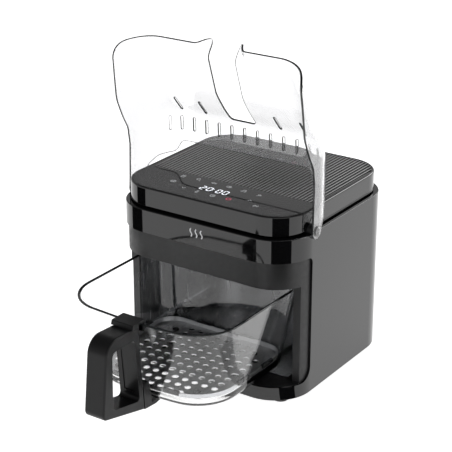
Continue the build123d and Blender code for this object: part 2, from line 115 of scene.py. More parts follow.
class TopSizes(bpy.types.PropertyGroup):
    pitch: length("Rib pitch", "Distance from rib to rib", 5.35)
    width: length("Rib width", "Width of a rib at its foot", 2.4)
    height: length("Rib height", "Height of a rib above the plate", 2.4)
    plate: length("Plate", "Thickness of the plate that the ribs stand on", 1)
    corner: length("Corner radius", "Radius of the ribbed field's rear corners", 44.3)
    count: IntProperty(name="Ribs", description="Number of ribs", default=47, min=1)


class PanelMarks(bpy.types.PropertyGroup):
    stroke: length("Stroke", "Width of a printed line", 0.9)
    icon: length("Icon size", "Width of an icon", 8)
    digit: length("Digit height", "Height of a lit digit", 11)
    thickness: length("Print thickness", "Thickness of the print", 0.08)
    time: StringProperty(name="Time shown", description="Four digits shown on the display", default="2000")


class Finishes(bpy.types.PropertyGroup):
    gloss: colour("Gloss casing", "High-gloss black ABS", "#0a0a0b")
    matt: colour("Matt mouldings", "Spark-textured black ABS", "#161617")
    grip: colour("Handle", "Satin black nylon", "#101011")
    glass: colour("Glass", "Borosilicate glass", "#fefefe")
    guard: colour("Guard", "Clear polycarbonate", "#fbfbfc")
    digits: colour("Digits", "Lit digits", "#f4f8ff")
    floor: colour("Floor", "Floor and backdrop", "#f4f4f4")


class StageSettings(bpy.types.PropertyGroup):
    azimuth: degrees("Camera azimuth", "Angle of the camera from the front, towards the right", 34.16)
    elevation: degrees("Camera elevation", "Angle of the camera above the horizon", 22.25)
    distance: length("Camera distance", "From the camera to the point it looks at", 2036.7)
    lens: FloatProperty(name="Focal length", description="Focal length in millimetres", default=118.86,
                        unit="CAMERA")


# ---- node and mesh helpers ----

# A noise keeps mostly within this range, which is spread over its two tones or roughnesses
NOISE_RANGE = {"From Min": 0.3, "From Max": 0.7}
# Height of a row in a grid of nearly even triangles, and how clear of the border its points stay, in spacings
ROW_HEIGHT, BORDER_GAP = 0.87, 0.55


def add_node(tree, kind, settings=None, inputs=None, links=None):
    """Adds a node with its settings, socket values and links {its input: (node, output)}."""
    node = tree.nodes.new(kind)
    for key, value in (settings or {}).items():
        setattr(node, key, value)
    for key, value in (inputs or {}).items():
        node.inputs[key].default_value = value
    for key, (source, output) in (links or {}).items():
        tree.links.new(source.outputs[output], node.inputs[key])
    return node


def new_material(name, surface, *grains):
    """Material with one Principled shader and constants on its sockets. Each grain is a noise in the object's
    own space, as a dict: its size and relief in mm, its stretch along each axis, and the two tones or the two
    roughnesses that it wanders between."""
    material = bpy.data.materials.new(name)
    material.use_nodes = True
    tree = material.node_tree
    tree.nodes.clear()
    links = {}
    for grain in grains:
        where = add_node(tree, "ShaderNodeTexCoord")
        scale = [1 / (grain["size"] * MM * factor) for factor in grain.get("stretch", (1, 1, 1))]
        scaled = add_node(tree, "ShaderNodeMapping", inputs={"Scale": scale},
                          links={"Vector": (where, "Object")})
        noise = add_node(tree, "ShaderNodeTexNoise", links={"Vector": (scaled, "Vector")},
                         inputs={"Scale": 1.0, "Detail": grain.get("detail", 2.0)})
        wander = {"Value": (noise, "Fac")}
        if "tones" in grain:
            share = add_node(tree, "ShaderNodeMapRange", inputs=NOISE_RANGE, links=wander)
            low, high = grain["tones"]
            tone = add_node(tree, "ShaderNodeMix", {"data_type": "RGBA"}, {"A": low, "B": high},
                            {"Factor": (share, "Result")})
            links["Base Color"] = (tone, "Result")
        if "shine" in grain:
            low, high = grain["shine"]
            shine = add_node(tree, "ShaderNodeMapRange", links=wander,
                             inputs={**NOISE_RANGE, "To Min": low, "To Max": high})
            links["Roughness"] = (shine, "Result")
        if "relief" in grain:
            bump = add_node(tree, "ShaderNodeBump", links={"Height": (noise, "Fac")},
                            inputs={"Strength": 0.5, "Distance": grain["relief"] * MM})
            links["Normal"] = (bump, "Normal")
    shader = add_node(tree, "ShaderNodeBsdfPrincipled", inputs=surface, links=links)
    add_node(tree, "ShaderNodeOutputMaterial", links={"Surface": (shader, "BSDF")})
    return material


def add_object(name, data):
    """Object in the scene, with this mesh, lamp or camera."""
    made = bpy.data.objects.new(name, data)
    bpy.context.scene.collection.objects.link(made)
    return made


def make_object(name, vertices, faces, materials, face_materials=None, smooth=True):
    """Mesh object from points measured from HOME, in metres, with its faces turned outward."""
    mesh = bpy.data.meshes.new(name)
    mesh.from_pydata([HOME + Vector(v) for v in vertices], [], faces)
    for material in materials:
        mesh.materials.append(material)
    if face_materials is not None:
        mesh.polygons.foreach_set("material_index", face_materials)
    mesh.polygons.foreach_set("use_smooth", [smooth] * len(mesh.polygons))
    work = bmesh.new()
    work.from_mesh(mesh)
    bmesh.ops.remove_doubles(work, verts=work.verts, dist=1e-7)
    bmesh.ops.recalc_face_normals(work, faces=work.faces)
    for edge in work.edges:
        # A crease where the finish changes, so that a flat wall shades flat right up to its rounded edge
        edge.smooth = len({face.material_index for face in edge.link_faces}) == 1
    work.to_mesh(mesh)
    work.free()
    return add_object(name, mesh)


def flatten_modifiers(made):
    """Turns a piece's modifiers into plain mesh and removes them."""
    graph = bpy.context.evaluated_depsgraph_get()
    mesh = bpy.data.meshes.new_from_object(made.evaluated_get(graph), preserve_all_data_layers=True,
                                           depsgraph=graph)
    mesh.name = made.name
    made.modifiers.clear()
    made.data = mesh


def arc(centre, radius, start, end, steps):
    """Points on an arc, with both ends, angles in radians."""
    return [(centre[0] + radius * math.cos(start + (end - start) * i / steps),
             centre[1] + radius * math.sin(start + (end - start) * i / steps)) for i in range(steps + 1)]


def rounded(corners, steps):
    """Closed outline from (x, y, radius) corners, with steps + 1 points on each rounded corner."""
    points = []
    for i, (x, y, radius) in enumerate(corners):
        here = Vector((x, y))
        before = (Vector(corners[i - 1][:2]) - here).normalized()
        after = (Vector(corners[(i + 1) % len(corners)][:2]) - here).normalized()
        if radius <= 0:
            points.append((x, y))
            continue
        half = before.angle(after) / 2
        centre = here + (before + after).normalized() * (radius / math.sin(half))
        first = here + before * (radius / math.tan(half)) - centre
        last = here + after * (radius / math.tan(half)) - centre
        start = math.atan2(first.y, first.x)
        turn = (math.atan2(last.y, last.x) - start + math.pi) % (2 * math.pi) - math.pi
        points += arc(centre, radius, start, start + turn, steps)
    return points


def densify(outline, spacing):
    """Adds points along a closed outline so that none are further apart than spacing."""
    points = []
    for i, (x, y) in enumerate(outline):
        u, v = outline[(i + 1) % len(outline)]
        pieces = max(1, math.ceil(math.hypot(u - x, v - y) / spacing))
        points += [(x + (u - x) * k / pieces, y + (v - y) * k / pieces) for k in range(pieces)]
    return points


def inside(points, outline):
    """For each point, whether it lies inside a closed outline."""
    x, y = np.asarray(points)[:, 0:1], np.asarray(points)[:, 1:2]
    edge = np.asarray(outline)
    following = np.roll(edge, -1, axis=0)
    crosses = (edge[:, 1] > y) != (following[:, 1] > y)
    rise = following[:, 1] - edge[:, 1]
    rise = np.where(rise == 0, 1e-12, rise)
    at = edge[:, 0] + (y - edge[:, 1]) * (following[:, 0] - edge[:, 0]) / rise
    return (crosses & (x < at)).sum(axis=1) % 2 == 1


def on_sheet(points, outline, holes):
    """For each point, whether it lies inside the outline and outside the holes."""
    keep = inside(points, outline)
    for hole in holes:
        keep &= ~inside(points, hole)
    return keep


def flat_sheet(outline, holes, spacing):
    """Points and triangles of a flat sheet with holes, with an even grid of points where spacing is not 0."""
    rings = [outline] + holes
    points = [p for ring in rings for p in ring]
    edges = []
    first = 0
    for ring in rings:
        edges += [(first + i, first + (i + 1) % len(ring)) for i in range(len(ring))]
        first += len(ring)
    if spacing:
        border = np.array(points)
        low, high = border.min(0), border.max(0)
        rows = np.arange(low[1] + spacing / 2, high[1], spacing * ROW_HEIGHT)
        grid = np.array([(x + (k % 2) * spacing / 2, y) for k, y in enumerate(rows)
                         for x in np.arange(low[0] + spacing / 2, high[0], spacing)])
        grid = grid[on_sheet(grid, outline, holes)]
        far = np.array([np.min(np.hypot(*(border - p).T)) > spacing * BORDER_GAP for p in grid])
        points += [tuple(p) for p in grid[far]]
    made = delaunay_2d_cdt([Vector(p) for p in points], edges, [], 0, 1e-9)
    where = [tuple(p) for p in made[0]]
    triangles = np.array([f for f in made[2] if len(f) == 3])
    middles = np.array(where)[triangles].mean(axis=1)
    return where, [tuple(int(i) for i in f) for f in triangles[on_sheet(middles, outline, holes)]]


def thick_sheet(points, normals, faces, thickness, bulge, steps=4):
    """Closed wall from an outer surface: its inner surface lies one thickness in, and every edge is rounded.
    Returns vertices, faces and, for each face, 0 on the surfaces and 1 on the rounded edges."""
    count = len(points)
    points, normals = [Vector(p) for p in points], [Vector(n) for n in normals]
    used = dict.fromkeys((face[i], face[(i + 1) % len(face)]) for face in faces for i in range(len(face)))
    border = [(a, b) for a, b in used if (b, a) not in used]
    outward = {}
    for a, b in border:
        side = (points[b] - points[a]).cross(normals[a] + normals[b])
        for end in (a, b):
            outward[end] = outward.get(end, Vector((0, 0, 0))) + side.normalized()
    vertices = points + [p - n * thickness for p, n in zip(points, normals)]
    rim = {}
    for v, side in outward.items():
        side = side.normalized()
        middle = points[v] - normals[v] * thickness / 2
        rim[v] = [v]
        for step in range(1, steps):
            angle = math.pi * step / steps
            rim[v].append(len(vertices))
            vertices.append(middle + normals[v] * (math.cos(angle) * thickness / 2)
                            + side * (math.sin(angle) * bulge))
        rim[v].append(v + count)
    made = [tuple(f) for f in faces] + [tuple(i + count for i in reversed(f)) for f in faces]
    kinds = [0] * len(made)
    for a, b in border:
        for step in range(steps):
            made.append((rim[b][step], rim[a][step], rim[a][step + 1], rim[b][step + 1]))
            kinds.append(1)
    return vertices, made, kinds


# ---- finishes ----

def gloss_abs(colours):
    """High-gloss moulded ABS: mirror-like, with the faint long waves that a moulding has."""
    return new_material("gloss_black_abs", {"Base Color": colours.gloss, "Roughness": 0.06, "IOR": 1.56},
                        {"size": 45, "detail": 1.0, "relief": 0.03})


def matt_abs(colours):
    """Spark-textured ABS: a fine even grain, drawn at 1.1 mm so that it shows, takes the shine off."""
    return new_material("matt_black_abs", {"Base Color": colours.matt, "IOR": 1.5},
                        {"size": 6, "shine": (0.44, 0.56)}, {"size": 1.1, "detail": 3.0, "relief": 0.03})


def rib_abs():
    """Moulded ABS straight from a polished tool: nearly black, with a crisp line of light on each crown."""
    return new_material("satin_rib_abs", {"Base Color": linear("#080809"), "IOR": 1.6},
                        {"size": 9, "shine": (0.06, 0.09)})


def grip_nylon(colours):
    """Glass-filled nylon with a satin tool finish: soft wide highlights, dimmer than on the gloss casing."""
    return new_material("satin_black_nylon", {
        "Base Color": colours.grip, "IOR": 1.53, "Specular IOR Level": 0.2},
        {"size": 12, "shine": (0.28, 0.38)}, {"size": 0.9, "detail": 3.0, "relief": 0.02})


def touch_glass():
    """Gloss overlay of the touch zone: flat, dark and smooth, so it shows the room as a dim mirror."""
    return new_material("black_touch_overlay", {"Base Color": linear("#0b0b0c"), "IOR": 1.52},
                        {"size": 30, "shine": (0.035, 0.06)})


def rubber():
    """Cured rubber: flat black with a slight dusting of grey."""
    return new_material("black_rubber", {"Roughness": 0.78, "IOR": 1.5},
                        {"size": 4, "detail": 4.0, "tones": (linear("#141414"), linear("#1f1f1f"))},
                        {"size": 0.8, "relief": 0.03})


def silicone():
    """Moulded silicone: smoother than rubber, with a soft sheen."""
    return new_material("black_silicone", {"Base Color": linear("#111112"), "Roughness": 0.5, "IOR": 1.42},
                        {"size": 1.5, "relief": 0.03})


def metal(name, dark, light, roughness, grain_mm, stretch=(1, 1, 1), relief=0.01):
    """Bare metal: its grain, drawn out along the stretched axis, changes its tone and shine a little."""
    return new_material(name, {"Metallic": 1.0}, {
        "size": grain_mm, "stretch": stretch, "detail": 4.0, "tones": (linear(dark), linear(light)),
        "shine": (roughness - 0.04, roughness + 0.04), "relief": relief})


def moulded(name, dark, light, roughness, grain_mm, relief):
    """Plastic, ceramic, enamel or print: a slightly uneven tone and a fine skin."""
    return new_material(name, {"Roughness": roughness, "IOR": 1.5},
                        {"size": grain_mm * 4, "detail": 3.0, "tones": (linear(dark), linear(light))},
                        {"size": grain_mm, "relief": relief})


def circuit_board():
    """Green solder mask over copper: slightly glossy, with long darker tracks about 1.5 mm wide."""
    return new_material("green_circuit_board", {"Roughness": 0.35},
                        {"size": 1.5, "stretch": (12, 1, 1), "tones": (linear("#0d3b1d"), linear("#1b5a2e"))})


def pressed_glass(colours):
    """Pressed borosilicate: clear, with the faint ripple of a pressed wall that bends what is behind it."""
    return new_material("pressed_borosilicate_glass", {
        "Base Color": colours.glass, "Roughness": 0.0, "IOR": 1.473, "Transmission Weight": 1.0},
        {"size": 38, "detail": 1.0, "relief": 0.05})


def rim_painted_dark():
    """Fire-polished rim of the glass: the near-black that it shows through the length of the wall is painted
    shade, a dark colour and less transmission in place of the light lost along the wall.
    """
    return new_material("glass_rim_painted_shade", {
        "Base Color": linear("#1c1f20"), "IOR": 1.473, "Transmission Weight": 0.4},
        {"size": 7, "shine": (0.08, 0.16)})


def clear_polycarbonate(colours):
    """Clear moulded polycarbonate: a wiped sheet with a faint even haze, which shows over dark things."""
    return new_material("clear_polycarbonate", {
        "Base Color": colours.guard, "Roughness": 0.0, "IOR": 1.585, "Transmission Weight": 0.89},
        {"size": 60, "detail": 1.0, "relief": 0.03})


def sheet_edge_painted_dark():
    """Edge of the clear sheet: the dark line that its rounded edge shows, where light is lost along the
    sheet, is painted shade, a dark colour and less transmission.
    """
    return new_material("sheet_edge_painted_shade", {
        "Base Color": linear("#17191b"), "IOR": 1.585, "Transmission Weight": 0.25},
        {"size": 9, "shine": (0.05, 0.12)})


def lit(name, rgba, strength):
    """Light-emitting segments behind the overlay: even and slightly blue-white."""
    return new_material(name, {"Base Color": rgba, "Emission Color": rgba, "Emission Strength": strength,
                               "Roughness": 0.3})


def lit_floor(colours):
    """Pale acrylic table lit from below: the object stands on an even white with only a faint shadow."""
    return new_material("lit_acrylic_floor", {"Base Color": colours.floor, "Roughness": 0.9,
                                              "Emission Color": (1, 1, 1, 1), "Emission Strength": 0.95})


def reflector(name, strength):
    """Plain card that only shows as a reflection: light-giving, or black when its strength is nought."""
    return new_material(name, {"Base Color": (0, 0, 0, 1), "Roughness": 1.0, "Specular IOR Level": 0.0,
                               "Emission Color": (1, 1, 1, 1), "Emission Strength": strength})


def dress(names, material):
    """Puts a material on CAD nodes, whose shapes stay as they are."""
    for name in names:
        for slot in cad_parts[name].material_slots:
            slot.material = material


class CasingOperator(bpy.types.Operator):
    """Finishes the casing: gloss shell and cap, matt mouldings, touch overlay, feet and screws"""
    bl_idname = "fryer.casing"
    bl_label = "Casing"

    def execute(self, context):
        colours = context.scene.fryer_finishes
        dress(["outer_shell", "top_cap"], gloss_abs(colours))
        dress(["front_bezel", "hinge_socket_left", "hinge_socket_right", "back_cover", "exhaust_grille",
               "base_pan", "basket_sensor"], matt_abs(colours))
        dress(["touch_panel"], touch_glass())
        dress(["foot_front_left", "foot_front_right", "foot_rear_left", "foot_rear_right", "cord_gland"],
              rubber())
        # Plated screws: pale grey, a little cloudy
        dress(["back_screws", "base_screws", "handle_screws"],
              metal("zinc_plated_screw", "#9a9c9e", "#a9abad", 0.3, 0.8))
        return {"FINISHED"}


class InsidesOperator(bpy.types.Operator):
    """Finishes what is inside: liner, heater, fan, motor, boards and sensors"""
    bl_idname = "fryer.insides"
    bl_label = "Insides"

    def execute(self, context):
        # Brushed sheet: long upright strokes stretch what it reflects from top to bottom
        dress(["cavity_liner", "heat_reflector", "heater_clips", "basket_rail_left", "basket_rail_right",
               "rim_guide_left", "rim_guide_right", "air_duct", "temperature_probe", "motor_bracket"],
              metal("brushed_stainless_steel", "#b9babc", "#c6c7c9", 0.24, 1.6, (1, 1, 40), 0.002))
        # Plated wire: bright and nearly mirror-like, so each wire carries a thin highlight
        dress(["heater_guard"], metal("bright_plated_wire", "#cccdce", "#d8d9da", 0.14, 2.0))
        # Sheath that has been hot: brown-grey, dull, patchy
        dress(["heating_element"], metal("heat_tinted_heater_sheath", "#4a4441", "#6b625c", 0.48, 3.0))
        # Pressed aluminium: pale with a soft shine
        dress(["convection_fan"], metal("stamped_aluminium", "#c2c3c4", "#cfd0d1", 0.34, 1.2))
        # Ground shaft: fine lines round it
        dress(["motor_shaft", "fan_nut"],
              metal("ground_shaft_steel", "#a5a6a8", "#b4b5b7", 0.22, 0.5, (20, 20, 1)))
        # Spring wire: bright, even
        dress(["touch_springs"], metal("bright_spring_wire", "#b8b9ba", "#c4c5c6", 0.22, 0.6))
        # Nickel: a warm, clean shine
        dress(["sensor_magnet"], metal("nickel_plated_magnet", "#b5b4b0", "#bfbeba", 0.2, 1.0))
        # Glass-filled nylon: dark and dull
        dress(["cooling_fan"], moulded("black_fan_nylon", "#141415", "#1a1a1b", 0.45, 1.2, 0.03))
        # Enamelled can: an even grey with a slight orange peel
        dress(["motor_housing"], moulded("grey_motor_enamel", "#54565a", "#5c5e61", 0.4, 1.5, 0.04))
        # Unglazed ceramic: chalky, off-white
        dress(["thermostat", "thermal_fuse"],
              moulded("unglazed_ceramic", "#c8c3b6", "#d6d1c4", 0.7, 0.8, 0.03))
        # Dark light-shade round the digits
        dress(["display_module"], moulded("grey_display_frame", "#333335", "#3a3a3c", 0.4, 1.5, 0.02))
        dress(["control_board", "power_board"], circuit_board())
        # Satin sheet: fine strokes along the tray blur what it reflects
        dress(["crisper_plate"], metal("satin_tray_steel", "#bfc0c2", "#cccdcf", 0.3, 0.7, (1, 30, 1)))
        dress(["crisper_feet", "crisper_bumpers"], silicone())
        return {"FINISHED"}


class HandleOperator(bpy.types.Operator):
    """Finishes the handle, its cover strip and its two mounts"""
    bl_idname = "fryer.handle"
    bl_label = "Handle"

    def execute(self, context):
        dress(["handle_grip", "handle_cover", "rim_clamp", "lower_bracket"],
              grip_nylon(context.scene.fryer_finishes))
        return {"FINISHED"}


# ---- glass drawer ----

# Heights of its underside and rim and of the level that its slope starts from, then its half width, front and
# rear at that level and at the rim
BASE_Z, RIM_Z, SLOPE_Z = 26 * MM, 143 * MM, 30 * MM
HALF_BASE, HALF_RIM = 100 * MM, 117 * MM
FRONT_BASE, FRONT_RIM = -250 * MM, -274 * MM
REAR_BASE, REAR_RIM = -62 * MM, -46 * MM
# Radius on which the bowed front turns, in metres
BOW_RADIUS = 0.4
# Steps up the heel, up the wall and over the rim, and round a corner and along a side
HEEL_STEPS, WALL_STEPS, RIM_STEPS, CORNER_STEPS, SIDE_STEPS = 8, 10, 8, 14, 8


def drawer_ring(sizes, z, inset):
    """Plan outline of the drawer at a height, inset by a distance."""
    share = (z - SLOPE_Z) / (RIM_Z - SLOPE_Z)
    half = HALF_BASE + share * (HALF_RIM - HALF_BASE) - inset
    front = FRONT_BASE + share * (FRONT_RIM - FRONT_BASE) + inset
    rear = REAR_BASE + share * (REAR_RIM - REAR_BASE) - inset
    flare = front + sizes.bow
    rear_corner, front_corner = sizes.rear_corner - inset, sizes.front_corner - inset
    corners = [(-half, rear, rear_corner), (-half, flare, front_corner), (0, front, BOW_RADIUS),
               (half, flare, front_corner), (half, rear, rear_corner)]
    return [(x, y, z) for x, y in densify_evenly(rounded(corners, CORNER_STEPS), SIDE_STEPS)]


def densify_evenly(outline, parts):
    """Splits each of the five long runs into the same number of parts, so that the rings match."""
    points = []
    longest = sorted(range(len(outline)),
                     key=lambda i: -math.dist(outline[i], outline[(i + 1) % len(outline)]))[:5]
    for i, point in enumerate(outline):
        following = outline[(i + 1) % len(outline)]
        points.append(point)
        if i in longest:
            points += [(point[0] + (following[0] - point[0]) * k / parts,
                        point[1] + (following[1] - point[1]) * k / parts) for k in range(1, parts)]
    return points


class DrawerOperator(bpy.types.Operator):
    """Makes the pressed glass drawer with its rounded heel, bowed front and polished rim"""
    bl_idname = "fryer.drawer"
    bl_label = "Glass drawer"

    def execute(self, context):
        sizes = context.scene.fryer_basket
        heel, wall = sizes.heel, sizes.wall

        def heel_steps(bottom):
            """(height, inset) up the rounded heel and the wall."""
            steps = []
            for k in range(HEEL_STEPS + 1):
                angle = math.pi / 2 * k / HEEL_STEPS
                steps.append((bottom + heel * (1 - math.cos(angle)), heel * (1 - math.sin(angle))))
            top = RIM_Z - wall / 2
            start = bottom + heel
            return steps + [(start + (top - start) * k / WALL_STEPS, 0.0) for k in range(1, WALL_STEPS + 1)]

        outer = heel_steps(BASE_Z)
        rim = [(RIM_Z - wall / 2 + wall / 2 * math.sin(math.pi * k / RIM_STEPS),
                wall / 2 - wall / 2 * math.cos(math.pi * k / RIM_STEPS)) for k in range(1, RIM_STEPS)]
        inner = [(z, inset + wall) for z, inset in reversed(heel_steps(BASE_Z + sizes.floor))]
        profile = outer + rim + inner
        rings = [drawer_ring(sizes, z, inset) for z, inset in profile]
        around = len(rings[0])
        vertices = [p for ring in rings for p in ring]
        faces, kinds = [], []
        rim_first, rim_last = len(outer) - 1, len(outer) + len(rim) - 1
        for k in range(len(rings) - 1):
            for i in range(around):
                j = (i + 1) % around
                faces.append((k * around + i, k * around + j, (k + 1) * around + j, (k + 1) * around + i))
                kinds.append(1 if rim_first <= k <= rim_last else 0)
        faces.append(tuple(range(around)))
        faces.append(tuple((len(rings) - 1) * around + i for i in range(around)))
        kinds += [0, 0]
        # The rim's faces take painted shade: a near-black glass that stands in for the dark look of the
        # polished rim
        drawer = make_object("glass_drawer", vertices, faces,
                             [pressed_glass(context.scene.fryer_finishes), rim_painted_dark()], kinds)
        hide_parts("glass_basket")
        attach(drawer, "basket")
        return {"FINISHED"}


# ---- clear guard ----

# Height and front of the shut guard, down its middle
GUARD_PROFILE = ((0, -136), (19, -136), (92, -137), (111, -143), (125, -148), (138, -154), (145, -156.5),
                 (163, -152), (187, -144.5), (240, -128), (260, -122))
# Side view of the shut guard, as (y, z, radius): up over its arm to the knuckle, and down the arm's rear to
# the lower edge. The first and the last point of each only give directions.
ARM_TOP = ((-160, 187, 0), (-143.5, 187, 4), (-136, 202, 6), (-121, 203.5, 10), (-107, 209.5, 8),
           (-83.5, 229.1, 0))
ARM_REAR = ((-65.6, 220.7, 0), (-70.5, 208, 20), (-86, 165, 20), (-88.5, 150, 20), (-94, 19, 22),
            (-140, 19, 0))
# Spacing of the points along the outline, as a share of the sheet's own
OUTLINE_SHARE = 0.7
# Directions from the pin in which the knuckle meets the top and the rear of the arm
KNUCKLE_START, KNUCKLE_END = math.radians(161.9), math.radians(-32.3)
# Steam vents, as (distance from the middle, foot, head): a row across the bulge and two pairs lower down
VENTS = [(min(max(20 * i, -117), 117), 153, 172.5) for i in range(-6, 7)]
VENTS += [(x, 116, 142) for x in (-97, -58, 58, 97)]


def guard_front(z):
    """Front of the shut guard at a height, eased over 12 mm where the profile turns."""
    heights = [p[0] * MM for p in GUARD_PROFILE]
    fronts = [p[1] * MM for p in GUARD_PROFILE]
    around = [z + k * 2 * MM for k in range(-3, 4)]
    return float(np.mean(np.interp(around, heights, fronts)))


def ease(t):
    """Smooth step from 0 to 1."""
    t = min(max(t, 0.0), 1.0)
    return t * t * (3 - 2 * t)


def guard_point(sizes, s, z):
    """Point of the shut guard's outer surface, s along its plan outline from the middle, z up."""
    flat = sizes.half - sizes.corner
    quarter = sizes.corner * math.pi / 2
    front = guard_front(z)
    along = abs(s)
    if along <= flat:
        x, y = along, front
    elif along <= flat + quarter:
        angle = (along - flat) / sizes.corner
        x, y = flat + sizes.corner * math.sin(angle), front + sizes.corner * (1 - math.cos(angle))
    else:
        x, y = sizes.half, front + sizes.corner + along - flat - quarter
    lip_foot, lip_height = 38 * MM, 40 * MM
    flare = (ease((lip_foot - x) / (lip_foot - sizes.notch_half))
             * ease((lip_height - z) / (lip_height - sizes.low)))
    return Vector((math.copysign(x, s), y - sizes.lip * flare, z))


def guard_s(sizes, y, z):
    """Distance along the plan outline at which the guard's right side reaches y."""
    flat = sizes.half - sizes.corner
    past = y - guard_front(z)
    if past <= 0:
        return flat
    if past <= sizes.corner:
        return flat + sizes.corner * math.acos(1 - past / sizes.corner)
    return flat + sizes.corner * math.pi / 2 + past - sizes.corner


def guard_outline(sizes):
    """Outline of the unrolled guard, and its holes."""
    pin = (PIN.y, PIN.z)
    top, rear = [rounded([(y * MM, z * MM, radius * MM) for y, z, radius in run], steps)[1:-1]
                 for run, steps in ((ARM_TOP, 5), (ARM_REAR, 8))]
    knuckle = arc(pin, sizes.knuckle, KNUCKLE_START, KNUCKLE_END, 16)
    right = [(guard_s(sizes, y, z), z) for y, z in top + knuckle + rear]
    # Only the notch's own four corners are used: the rest of this outline gives directions
    half, low, high, bend, far, steps = sizes.notch_half, sizes.low, sizes.notch_top, 6 * MM, 60 * MM, 6
    notch = rounded([(half, low, sizes.lip_corner), (half, high, bend), (-half, high, bend),
                     (-half, low, sizes.lip_corner), (-far, low, 0), (-far, 0, 0), (far, 0, 0),
                     (far, low, 0)], steps)[:4 * (steps + 1)]
    left = [(-s, z) for s, z in reversed(right)]
    outline = densify(right + notch + left, sizes.mesh * OUTLINE_SHARE)
    hole = arc(pin, sizes.pin, 0, 2 * math.pi, 20)[:-1]
    holes = [[(end * guard_s(sizes, y, z), z) for y, z in hole] for end in (-1, 1)]
    radius = sizes.slot_width / 2
    for x, low, high in VENTS:
        s, low, high = x * MM, low * MM + radius, high * MM - radius
        ends = arc((s, high), radius, 0, math.pi, 6) + arc((s, low), radius, math.pi, 2 * math.pi, 6)
        holes.append(densify(ends, sizes.mesh))
    return outline, holes


class GuardOperator(bpy.types.Operator):
    """Makes the clear guard: a thin wrapped sheet with a bulge, vents, a notch for the handle and two arms"""
    bl_idname = "fryer.guard"
    bl_label = "Clear guard"

    def execute(self, context):
        sizes = context.scene.fryer_guard
        outline, holes = guard_outline(sizes)
        flat, faces = flat_sheet(outline, holes, sizes.mesh)
        points = [guard_point(sizes, s, z) for s, z in flat]
        step, edge_bulge = 0.2 * MM, 0.6 * MM
        normals = []
        for s, z in flat:
            across = guard_point(sizes, s + step, z) - guard_point(sizes, s - step, z)
            up = guard_point(sizes, s, z + step) - guard_point(sizes, s, z - step)
            normals.append(across.cross(up).normalized())
        vertices, made, kinds = thick_sheet(points, normals, faces, sizes.wall, edge_bulge)
        pin = Vector((0, PIN.y, PIN.z))
        turn = Matrix.Translation(pin) @ Matrix.Rotation(-sizes.swing, 4, "X") @ Matrix.Translation(-pin)
        # The rounded edges take painted shade: a near-black polycarbonate that stands in for the dark line
        # along the sheet's edge
        guard = make_object("clear_guard", [turn @ v for v in vertices], made,
                            [clear_polycarbonate(context.scene.fryer_finishes), sheet_edge_painted_dark()], kinds)
        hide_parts("guard_cover")
        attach(guard, "guard")
        dress(["pivot_pin_left", "pivot_pin_right"], guard.data.materials[0])
        return {"FINISHED"}


# ---- geometry node trees ----

def new_tree(name, inputs):
    """Empty geometry node tree with {name: kind} inputs and a mesh output, and its input node."""
    tree = bpy.data.node_groups.new(name, "GeometryNodeTree")
    for label, kind in inputs.items():
        tree.interface.new_socket(label, in_out="INPUT", socket_type="NodeSocket" + kind)
    tree.interface.new_socket("Mesh", in_out="OUTPUT", socket_type="NodeSocketGeometry")
    return tree, add_node(tree, "NodeGroupInput")


def end_tree(tree, given, copies):
    """Ends a tree: its copies become real mesh and get the finish."""
    real = add_node(tree, "GeometryNodeRealizeInstances", links={0: copies})
    finished = add_node(tree, "GeometryNodeSetMaterial", links={
        "Geometry": (real, 0), "Material": (given, "Finish")})
    add_node(tree, "NodeGroupOutput", links={"Mesh": (finished, 0)})
    return tree


def run_tree(name, tree, values, points=()):
    """Plain mesh object made by a geometry node tree with these inputs, from these points if it takes any."""
    mesh = bpy.data.meshes.new(name)
    mesh.from_pydata(points, [], [])
    made = add_object(name, mesh)
    modifier = made.modifiers.new(name, "NODES")
    modifier.node_group = tree
    for socket in tree.interface.items_tree:
        if socket.in_out == "INPUT" and socket.name in values:
            modifier[socket.identifier] = values[socket.name]
    flatten_modifiers(made)
    return made


# ---- ribbed top ----

# A rib has this many sides, so that the light on its crown stays a clean line
RIB_SIDES = 44
# Vents in the plate under the ribs: how many columns, and the front and rear of each of the two rows
VENT_COLUMNS, VENT_ROWS = 26, ((-25, 3), (8, 36))


